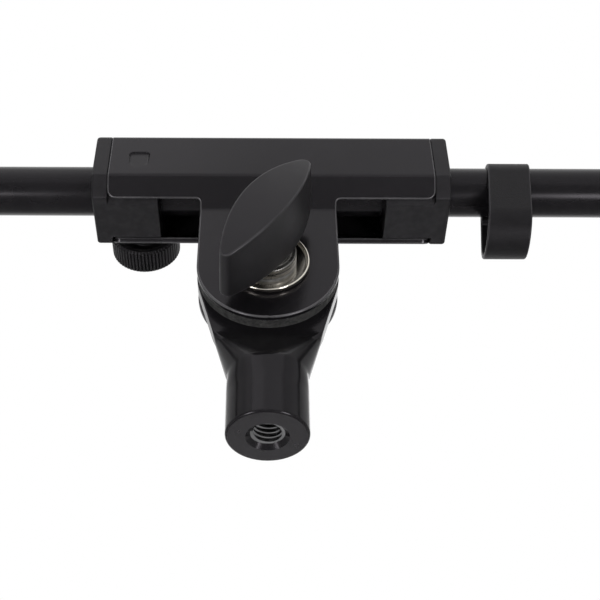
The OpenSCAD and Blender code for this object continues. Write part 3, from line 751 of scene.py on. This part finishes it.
# End caps: a flange with the channel's outline and a block inside the channel
capSizes = {"flange": 5, "flangeCorner": 1.2, "leftBlock": 16, "rightBlock": 15.5, "blockCorner": 0.5,
            "gap": 0.15, "bore": 8.05, "edge": 0.4, "faceEdge": 1, "padHole": 4.45, "dent": 4.6}


# Where the sheet's inner faces meet at the fold between wall and lip
def innerBend(lipOut):
    c = channelSizes
    upper, bend, lower = (Vector(p) for p in (
        (c["halfWidth"], c["top"]), (c["halfWidth"], -c["wallDrop"]), (lipOut, -c["lipDrop"])))
    first, second = (bend - upper).normalized(), (lower - bend).normalized()
    n1, n2 = Vector((-first.y, first.x)), Vector((-second.y, second.x))
    return bend - c["sheet"] * (n1 + n2) / (1 + n1.dot(n2))


# Side is -1 for the left cap and 1 for the right one
def makeCap(name, wallX, side, blockLength, node):
    c, e = channelSizes, capSizes
    faceX, blockEnd = wallX + side * e["flange"], wallX - side * blockLength
    x0, x1 = min(wallX, faceX), max(wallX, faceX)
    slope = math.tan(math.radians(c["lipAngle"]))
    lipOut = c["halfWidth"] - (c["lipDrop"] - c["wallDrop"]) * slope
    half = [(c["halfWidth"], c["top"], c["foldRound"]), (c["halfWidth"], -c["wallDrop"], e["flangeCorner"]),
            (lipOut, -c["lipDrop"], e["flangeCorner"])]
    flange = [(p.x, boomZ + p.y) for p in roundCorners(addMirrored(half, -1, 1))]
    piece = alongSlab(name, flange, x0, x1)
    selectEdges(piece, lambda a, b: max(abs(a.x - faceX), abs(b.x - faceX)) < 0.01)
    bpy.ops.mesh.bevel(offset=e["faceEdge"] * mm, segments=4, affect="EDGES")
    bpy.ops.object.mode_set(mode="OBJECT")
    inside = c["halfWidth"] - c["sheet"] - e["gap"]
    bend = innerBend(lipOut)
    foot = bend.x - e["gap"] - (bend.y + c["lipDrop"]) * slope
    half = [(inside, c["top"] - c["sheet"] - e["gap"], e["blockCorner"], 3), (bend.x - e["gap"], bend.y),
            (foot, -c["lipDrop"])]
    block = [(p.x, boomZ + p.y) for p in roundCorners(addMirrored(half, -1, 1))]
    middle = (x0 + x1) / 2
    combine(piece, alongSlab("capBlock", block, min(middle, blockEnd), max(middle, blockEnd)), "UNION")
    drillHole(piece, e["bore"], min(x0, blockEnd) - 1, max(x1, blockEnd) + 1, boomMiddle, alongBoom, 96)
    if side < 0:
        drillHole(piece, e["padHole"], 0, pastWall, thumbMiddle, steps=48)
        dentEnd = -c["halfWidth"] + c["sheet"] + c["dimpleDepth"] + e["gap"]
        dentMiddle = Vector((thumbX, 0, boomZ - c["dimpleDrop"]))
        drillHole(piece, e["dent"], -pastWall, dentEnd, dentMiddle, steps=48)
    cleanMesh(piece)
    roundEdges(piece, e["edge"], 50)
    finishPiece(piece, "channel", [capFinish], node)


# Cup washer: a drawn cup whose rim shows round the wing knob's hub
cupSizes = {"radius": 12.5, "wall": 0.9, "height": 2, "hole": 4.2, "cornerOut": 1.1, "cornerIn": 0.5,
            "lip": 0.35}


def makeCup():
    c = cupSizes
    inner = c["radius"] - c["wall"]
    outline = roundCorners([
        (0, c["hole"]), (0, c["radius"], c["cornerOut"], 6), (-c["height"], c["radius"], c["lip"], 4),
        (-c["height"], inner, c["lip"], 4), (-c["wall"], inner, c["cornerIn"], 4), (-c["wall"], c["hole"])])
    seat = Vector((0, -channelSizes["earOut"], pivotZ))
    piece = turnPiece("cupWasher", outline, seat, acrossBoom, 128)
    finishPiece(piece, "cup", [nickelFinish], "cup_washer")


# Hub: a turned steel bush with a collar and a groove
hubSizes = {"face": -9.56, "collar": 8.5, "collarEnd": -13.12, "neck": 7, "end": -27.32, "bore": 4.05,
            "grooveAt": -11.3, "grooveWidth": 0.6, "grooveDepth": 0.7, "grooveSlant": 0.1,
            "grooveLip": (0.12, 2), "grooveRoot": (0.1, 2)}


def makeHub():
    h = hubSizes
    near, far = h["grooveAt"] + h["grooveWidth"] / 2, h["grooveAt"] - h["grooveWidth"] / 2
    floor = h["collar"] - h["grooveDepth"]
    lip, root = h["grooveLip"], h["grooveRoot"]
    outline = roundCorners([
        (h["face"], h["bore"], *fineEdge), (h["face"], h["collar"], *softEdge), (near, h["collar"], *lip),
        (near - h["grooveSlant"], floor, *root), (far + h["grooveSlant"], floor, *root),
        (far, h["collar"], *lip), (h["collarEnd"], h["collar"], *broadEdge),
        (h["collarEnd"], h["neck"], 0.2, 3), (h["end"], h["neck"]), (h["end"], h["bore"])])
    piece = turnPiece("knobHub", outline, pivotMiddle, acrossBoom)
    finishPiece(piece, "wing", [hubFinish], "knob_hub")


# Wing knob: a leaf outline with a crowned front
wingSizes = {"length": 47.4, "width": 15.7, "tip": 2.6, "back": -15.32, "side": 16.2, "crown": 3.5,
             "angle": 59, "frontLength": 46.5, "frontWidth": 14.2, "lean": -0.4, "rise": 0.3, "edge": 0.5,
             "hubHole": 7, "hubDepth": 12, "sideSteps": 16, "tipSteps": 8}


def leafOutline():
    w = wingSizes
    tipX = w["length"] / 2 - w["tip"]
    arc = (tipX ** 2 + (w["width"] / 2) ** 2 - w["tip"] ** 2) / (w["width"] - 2 * w["tip"])
    drop = arc - w["width"] / 2
    half = math.atan2(tipX, drop)
    count = w["sideSteps"]
    points = [(arc * math.sin(half * k / count), arc * math.cos(half * k / count) - drop)
              for k in range(-count, count + 1)]
    for k in range(1, w["tipSteps"]):
        turn = math.pi / 2 - half - (math.pi - 2 * half) * k / w["tipSteps"]
        points.append((tipX + w["tip"] * math.cos(turn), w["tip"] * math.sin(turn)))
    return points + [(-x, -z) for x, z in points]


def makeWing():
    w = wingSizes
    front = w["back"] - w["side"] - w["crown"]
    outline = leafOutline()
    piece = acrossSlab("wingKnob", [(x, pivotZ + z) for x, z in outline], front, w["back"])
    crown = ((w["length"] / 2) ** 2 + w["crown"] ** 2) / (2 * w["crown"])
    stations = sorted({round(x, 4) for x, z in outline})
    for x in stations[1:-1]:
        selectFaces(piece, lambda middle, normal: normal.y < -0.9)
        bpy.ops.mesh.bisect(plane_co=(x * mm, 0, 0), plane_no=(1, 0, 0), threshold=mm * 0.001)
    for x in stations:
        selectPoints(piece, lambda p: p.y < front + 0.01 and abs(p.x - x) < 0.002)
        bpy.ops.transform.translate(value=(0, (crown - math.sqrt(crown ** 2 - x ** 2)) * mm, 0))
    selectPoints(piece, lambda p: p.y < w["back"] - 1)
    scaleSelected((w["frontLength"] / w["length"], 1, w["frontWidth"] / w["width"]), pivotMiddle)
    moveBy(piece, Vector((w["lean"], 0, w["rise"])))
    turnBy(piece, -math.radians(w["angle"]), "Y", pivotMiddle)
    drillHole(piece, w["hubHole"], w["back"] - w["hubDepth"], 0, pivotMiddle)
    # The rounded edges get the lighter edge finish, a painted highlight
    roundEdges(piece, w["edge"], 50, [knobFinish, knobEdge])
    finishPiece(piece, "wing", [], "wing_knob")


# Knurled knob: a ring of straight ridges, a raised rim and a hollow with a boss
thumbSizes = {"radius": 11.5, "knurl": 0.5, "ridges": 60, "near": 17.35, "far": 26.85, "edge": 0.8,
              "rim": 1.3, "hollow": 2, "wallSlant": 0.3, "boss": 5.4, "bossDrop": 0.5, "bossSlant": 0.2,
              "screwHole": 3.1, "screwDepth": 2.4, "faceDrop": 0.5, "faceSlant": 0.4}


def makeThumbKnob():
    t = thumbSizes
    r, e = t["radius"], t["edge"]
    near, far = t["near"], t["far"]
    floor, bossFace = near + t["hollow"], near + t["bossDrop"]
    rimIn = r - e - t["rim"]
    hole, holeEnd = t["screwHole"], far - t["screwDepth"]
    outline = roundCorners([
        (near, rimIn, *softEdge), (floor, rimIn - t["wallSlant"], *broadEdge),
        (floor, t["boss"] + t["bossSlant"], *softEdge), (bossFace, t["boss"], *softEdge), (bossFace, hole),
        (holeEnd, hole), (holeEnd, 0), (far - t["faceDrop"], 0),
        (far - t["faceDrop"], rimIn - t["faceSlant"], *softEdge), (far, rimIn, *softEdge),
        (far, r - e, *crispEdge), (far - e, r), (near + e, r), (near, r - e, *crispEdge)])
    steps = t["ridges"] * 4
    piece = turnPiece("thumbKnob", outline, thumbMiddle, acrossBoom, steps)

    def inValley(place):
        step = round(math.atan2(place.x - thumbX, place.z - boomZ) / math.tau * steps) % 4
        return math.hypot(place.x - thumbX, place.z - boomZ) > r - 0.05 and step == 2

    selectPoints(piece, inValley)
    shrink = (r - t["knurl"]) / r
    scaleSelected((shrink, 1, shrink), thumbMiddle)
    finishPiece(piece, "thumb", [knobFinish], "thumb_knob", smooth=28)


# Cable clip: a moulded loop round the tube, with two ridges that hold it
clipSizes = {"start": 71, "width": 13.6, "inner": 8.05, "wall": 1.5, "drop": 17.3, "ridge": 1.4,
             "ridgeRound": 1.6, "lean": 6, "spare": 5, "edge": 0.45, "loopSteps": 24}


def loopOutline(radius):
    steps, drop = clipSizes["loopSteps"], clipSizes["drop"]
    upper = [(radius * math.cos(math.pi * k / steps), boomZ + radius * math.sin(math.pi * k / steps))
             for k in range(steps + 1)]
    return upper + [(-x, 2 * boomZ - z - drop) for x, z in upper]


def makeClip():
    c = clipSizes
    low, high = c["start"] - c["spare"], c["start"] + c["width"] + c["spare"]
    piece = alongSlab("cableClip", loopOutline(c["inner"] + c["wall"]), low, high)
    lean = math.radians(c["lean"])
    for end, side in ((c["start"], -1), (c["start"] + c["width"], 1)):
        trimBeyond(piece, Vector((end, 0, boomZ)), (side * math.cos(lean), 0, -side * math.sin(lean)))
    hollow = alongSlab("clipHollow", loopOutline(c["inner"]), low, high)
    away = c["inner"] + c["ridgeRound"]
    side = away - c["ridge"]
    length = high - low + 2
    for direction in (-1, 1):
        place = Vector((low - 1, direction * side, boomZ - math.sqrt(away ** 2 - side ** 2)))
        ridge = turnPiece("clipRidge", [(0, 0), (length, 0), (length, c["ridgeRound"]), (0, c["ridgeRound"])],
                          place, alongBoom, 32)
        combine(hollow, ridge, "DIFFERENCE")
    combine(piece, hollow, "DIFFERENCE")
    cleanMesh(piece)
    # The rounded edges get the lighter edge finish, a painted highlight
    roundEdges(piece, c["edge"], 60, [clipFinish, clipEdge])
    finishPiece(piece, "clip", [], "cable_clip")


# Boom: tube, rear plug, threaded stud and lock nut
boomSizes = {"tube": 8, "wall": 1.2, "back": -150, "front": 310, "plug": 9.5, "plugLength": 7,
             "plugDome": 1.6, "plugGroove": 0.7, "spigot": 16, "spigotGap": 0.03, "collar": 3, "stud": 4.75,
             "studRoot": 4.05, "studCore": 3.55, "coreLength": 6, "studEnd": 333, "tipSlant": 1.2,
             "threadFade": (-0.1, 0.9), "coneGap": 0.2, "pitch": 1.5875, "nut": 8.5, "nutWidth": 5,
             "nutEdge": (0.5, 3), "nutMouth": 0.4, "nutGap": 0.05, "grooves": 24, "grooveDepth": 0.5}
tubeInner = boomSizes["tube"] - boomSizes["wall"]
spigotRadius = tubeInner - boomSizes["spigotGap"]
studSeat = boomSizes["front"] + boomSizes["collar"]


def makeTube():
    b = boomSizes
    outline = roundCorners([(b["back"], tubeInner, *fineEdge), (b["back"], b["tube"], *crispEdge),
                            (b["front"], b["tube"], *crispEdge), (b["front"], tubeInner, *fineEdge)])
    piece = turnPiece("boomTube", outline, boomMiddle, alongBoom, 128)
    finishPiece(piece, "boom", [tubeFinish], "boom_tube")


def makePlug():
    b = boomSizes
    back, groove, radius = b["back"], b["plugGroove"], b["plug"]
    headEnd, spigotEnd = back - b["plugLength"], back + b["spigot"]
    outline = roundCorners([
        (headEnd, 0), (headEnd, radius, b["plugDome"], 8), (back - 2 * groove, radius, *softEdge),
        (back - 2 * groove, radius - groove, *slimEdge), (back - groove, radius - groove, *slimEdge),
        (back - groove, radius, *softEdge), (back, radius, *softEdge), (back, spigotRadius),
        (spigotEnd, spigotRadius, 0.8, 3), (spigotEnd, 0)])
    piece = turnPiece("tubePlug", outline, boomMiddle, alongBoom)
    finishPiece(piece, "boom", [capFinish], "tube_plug")


def makeStud():
    b = boomSizes
    front, core = b["front"], b["studCore"]
    stud = turnPiece("micStud", roundCorners([
        (front - b["spigot"], 0), (front - b["spigot"], spigotRadius, 0.6, 3), (front, spigotRadius),
        (front, b["tube"], *softEdge), (studSeat, b["tube"], *softEdge), (studSeat, core),
        (studSeat + b["coreLength"], core), (studSeat + b["coreLength"], 0)]), boomMiddle, alongBoom)
    end, wide, root = b["studEnd"] - studSeat, b["stud"] + b["coneGap"], b["studRoot"] - b["coneGap"]
    fadeStart, fadeEnd = b["threadFade"]
    thread = threadCore("studThread", b["studRoot"], b["stud"], b["pitch"], 0, end)
    cone = turnPiece("tipCone", [(-1, 0), (end, 0), (end, b["stud"] - 1), (end - b["tipSlant"], wide),
                                 (fadeEnd, wide), (fadeStart, root), (-1, root)], origin, upright)
    combine(thread, cone, "INTERSECT")
    turnBy(thread, math.radians(90), "Y", origin)
    moveBy(thread, Vector((studSeat, 0, boomZ)))
    combine(stud, thread, "UNION")
    editAll(stud)
    bpy.ops.mesh.remove_doubles(threshold=mm * 0.02)
    bpy.ops.mesh.dissolve_degenerate(threshold=mm * 0.01)
    bpy.ops.mesh.select_all(action="SELECT")
    bpy.ops.mesh.fill_holes(sides=0)
    faceOutwards()
    finishPiece(stud, "boom", [studFinish], "mic_stud")


def makeLockNut():
    b = boomSizes
    radius, mouth, end = b["nut"], b["nutMouth"], studSeat + b["nutWidth"]
    bore = b["stud"] + b["nutGap"]
    steps = b["grooves"] * 6
    outline = roundCorners([
        (studSeat, bore + mouth), (studSeat, radius, *b["nutEdge"]), (end, radius, *b["nutEdge"]),
        (end, bore + mouth), (end - mouth, bore), (studSeat + mouth, bore)])
    piece = turnPiece("lockNut", outline, boomMiddle, alongBoom, steps)

    def inGroove(place):
        step = round(math.atan2(place.y, place.z - boomZ) / math.tau * steps) % 6
        outside = math.hypot(place.y, place.z - boomZ) > radius - b["grooveDepth"] - 0.1
        return outside and step in (2, 3, 4)

    selectPoints(piece, inGroove)
    shrink = (radius - b["grooveDepth"]) / radius
    scaleSelected((1, shrink, shrink), boomMiddle)
    finishPiece(piece, "nut", [studFinish], "lock_nut", smooth=28)


# Bolt and clinch nut: turned steel parts of the two clamps
boltSizes = {"shank": 4, "tip": -26.3, "tipEdge": 0.7, "head": 10, "headEdge": 0.35, "dome": 4.6,
             "domeSteps": 12, "underEdge": 0.3, "rimEdge": (0.1, 0.08), "square": 4, "overlap": 0.5}
clinchSizes = {"bore": 3.05, "body": 5, "flange": 7, "flangeWidth": 1.6, "flangeEdge": (0.5, 4), "mouth": 0.4,
               "backMouth": 0.3}


def makeBolt():
    b, low = boltSizes, channelSizes["earOut"]
    rise = (b["head"] ** 2 + b["dome"] ** 2) / (2 * b["dome"])
    spread = math.asin((b["head"] - b["headEdge"]) / rise)
    turns = [spread * k / b["domeSteps"] for k in range(b["domeSteps"], -1, -1)]
    dome = [(low + b["dome"] - rise + rise * math.cos(turn), rise * math.sin(turn)) for turn in turns]
    rimUp, rimIn = b["rimEdge"]
    outline = [Vector(p) for p in [
        (b["tip"], 0), (b["tip"], b["shank"] - b["tipEdge"]), (b["tip"] + b["tipEdge"], b["shank"]),
        (low, b["shank"]), (low, b["head"] - b["underEdge"]), (low + rimUp, b["head"] - rimIn)] + dome]
    piece = turnPiece("pivotBolt", outline, pivotMiddle, acrossBoom)
    neck = squareBar("squareNeck", b["square"], low - channelSizes["sheet"], low + b["overlap"])
    combine(piece, neck, "UNION")
    finishPiece(piece, "channel", [hubFinish], "pivot_bolt")


def makeClinchNut():
    n = clinchSizes
    wall, inside = channelSizes["halfWidth"], channelSizes["halfWidth"] - channelSizes["sheet"]
    face = wall + n["flangeWidth"]
    outline = roundCorners([
        (inside, n["bore"] + n["backMouth"]), (inside, n["body"], *slimEdge), (wall, n["body"]),
        (wall, n["flange"], *slimEdge), (face, n["flange"], *n["flangeEdge"]), (face, n["bore"] + n["mouth"]),
        (face - n["mouth"], n["bore"]), (inside + n["backMouth"], n["bore"])])
    piece = turnPiece("clinchNut", outline, thumbMiddle, acrossBoom)
    finishPiece(piece, "channel", [thumbSteel], "clinch_nut")


makeSocket()
makeChannel()
makeCap("leftCap", channelSizes["left"], -1, capSizes["leftBlock"], "end_cap_left")
makeCap("rightCap", channelSizes["right"], 1, capSizes["rightBlock"], "end_cap_right")
makeCup()
makeHub()
makeWing()
makeThumbKnob()
makeClip()
makeTube()
makePlug()
makeStud()
makeLockNut()
makeBolt()
makeClinchNut()

# Nodes that keep their CAD shape get their finish here
kept = {"pivot_bush": bronzeFinish, "friction_ring_front": fibreMaterial, "friction_ring_rear": fibreMaterial,
        "thrust_washer": nylonFinish, "pressure_pad": brassFinish, "clamp_screw": thumbSteel}
for name, finish in kept.items():
    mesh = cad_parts[name].data
    mesh.materials.clear()
    mesh.materials.append(finish)
print("pieces ready")

# Stage: a pale floor well below, a white surround and soft lamps
stageSizes = {"floorZ": -260, "floorSize": 6, "floorColour": (0.66, 0.66, 0.66, 1),
              "cardColour": (0.70, 0.70, 0.70, 1), "surround": 0.95}


def makeFloor():
    s = stageSizes
    deselectAll()
    bpy.ops.mesh.primitive_plane_add(size=s["floorSize"], location=(0, 0, s["floorZ"] * mm))
    floor = bpy.context.object
    floor.name = "paleFloor"
    material, tree, shader = newMaterial("paleFloor")
    shader.inputs["Base Color"].default_value = s["floorColour"]
    shader.inputs["Roughness"].default_value = 0.9
    shader.inputs["Specular IOR Level"].default_value = 0.1
    clear = addNode(tree, "ShaderNodeBsdfTransparent", (0, -200))  # the floor is clear from below
    side = addNode(tree, "ShaderNodeNewGeometry", (-200, 200))
    mix = addNode(tree, "ShaderNodeMixShader", (300, 100))
    tree.links.new(side.outputs["Backfacing"], mix.inputs[0])
    tree.links.new(shader.outputs[0], mix.inputs[1])
    tree.links.new(clear.outputs[0], mix.inputs[2])
    tree.links.new(mix.outputs[0], tree.nodes["Material Output"].inputs["Surface"])
    floor.data.materials.append(material)


# Grey cards beside the object, which the camera doesn't see: they keep its gloss dark
cards = [
    {"name": "leftCard", "place": (-0.95, 0.4, 0.8), "turn": (0, 90, 0), "size": (2.2, 3.0)},
    {"name": "rightCard", "place": (0.95, 0.4, 0.8), "turn": (0, -90, 0), "size": (2.2, 3.0)}]


def makeCards():
    material, _, shader = newMaterial("greyCard")
    shader.inputs["Base Color"].default_value = stageSizes["cardColour"]
    shader.inputs["Roughness"].default_value = 0.95
    for card in cards:
        deselectAll()
        turn = [math.radians(v) for v in card["turn"]]
        bpy.ops.mesh.primitive_plane_add(size=1, location=card["place"], rotation=turn)
        flag = bpy.context.object
        flag.name = card["name"]
        flag.scale = (*card["size"], 1)
        flag.data.materials.append(material)
        flag.visible_camera = False


def makeWorld():
    world = bpy.data.worlds.new("studioWhite")
    bpy.context.scene.world = world
    world.use_nodes = True
    tree = world.node_tree
    tree.nodes.clear()
    paint = (1, 1, 1, 1)
    soft = addNode(tree, "ShaderNodeBackground", (-200, 100),
                   {"Color": paint, "Strength": stageSizes["surround"]})
    white = addNode(tree, "ShaderNodeBackground", (-200, -100), {"Color": paint, "Strength": 1})
    rays = addNode(tree, "ShaderNodeLightPath", (-900, 0))
    first = addNode(tree, "ShaderNodeMath", (-600, 0), operation="MAXIMUM")
    second = addNode(tree, "ShaderNodeMath", (-400, 0), operation="MAXIMUM")
    tree.links.new(rays.outputs["Is Camera Ray"], first.inputs[0])
    tree.links.new(rays.outputs["Is Glossy Ray"], first.inputs[1])
    tree.links.new(first.outputs[0], second.inputs[0])
    tree.links.new(rays.outputs["Is Transmission Ray"], second.inputs[1])
    mix = addNode(tree, "ShaderNodeMixShader", (100, 0))
    leave = addNode(tree, "ShaderNodeOutputWorld", (300, 0))
    tree.links.new(second.outputs[0], mix.inputs[0])
    tree.links.new(soft.outputs[0], mix.inputs[1])
    tree.links.new(white.outputs[0], mix.inputs[2])
    tree.links.new(mix.outputs[0], leave.inputs[0])


lamps = [
    {"name": "softKey", "place": (-0.5, -0.7, 0.75), "size": 0.8, "power": 0.6, "spread": 180},
    {"name": "softFill", "place": (0.8, -0.4, 0.35), "size": 0.6, "power": 0.2, "spread": 180},
    {"name": "rearStrip", "place": (0.1, 0.8, 0.7), "size": 0.6, "power": 0.6, "spread": 180},
    {"name": "lowLeft", "place": (-0.22, -0.17, -0.235), "size": 0.12, "power": 0.07, "spread": 55},
    {"name": "lowRight", "place": (0.22, -0.17, -0.235), "size": 0.12, "power": 0.07, "spread": 55}]


def makeLamps():
    aim = Vector((0, 0, 0.07))
    for lamp in lamps:
        deselectAll()
        place = Vector(lamp["place"])
        turn = (aim - place).to_track_quat("-Z", "Y").to_euler()
        bpy.ops.object.light_add(type="AREA", location=place, rotation=turn)
        light = bpy.context.object
        light.name = lamp["name"]
        light.data.size = lamp["size"]
        light.data.energy = lamp["power"]
        light.data.spread = math.radians(lamp["spread"])


camera = {"place": (-0.16, -260.0, -190.1), "target": (1.20, 0, 50.82), "lens": 70.65, "shift": 0.0467}


def makeCamera():
    deselectAll()
    place = Vector(camera["place"]) * mm
    look = Vector(camera["target"]) * mm - place
    bpy.ops.object.camera_add(location=place, rotation=look.to_track_quat("-Z", "Y").to_euler())
    eye = bpy.context.object
    eye.name = "photoCamera"
    eye.data.sensor_width = 36
    eye.data.lens = camera["lens"]
    eye.data.shift_x = camera["shift"]
    eye.data.clip_start = 0.01
    bpy.context.scene.camera = eye


makeFloor()
makeCards()
makeWorld()
makeLamps()
makeCamera()
bpy.context.scene.view_settings.view_transform = "Standard"
print("stage ready")
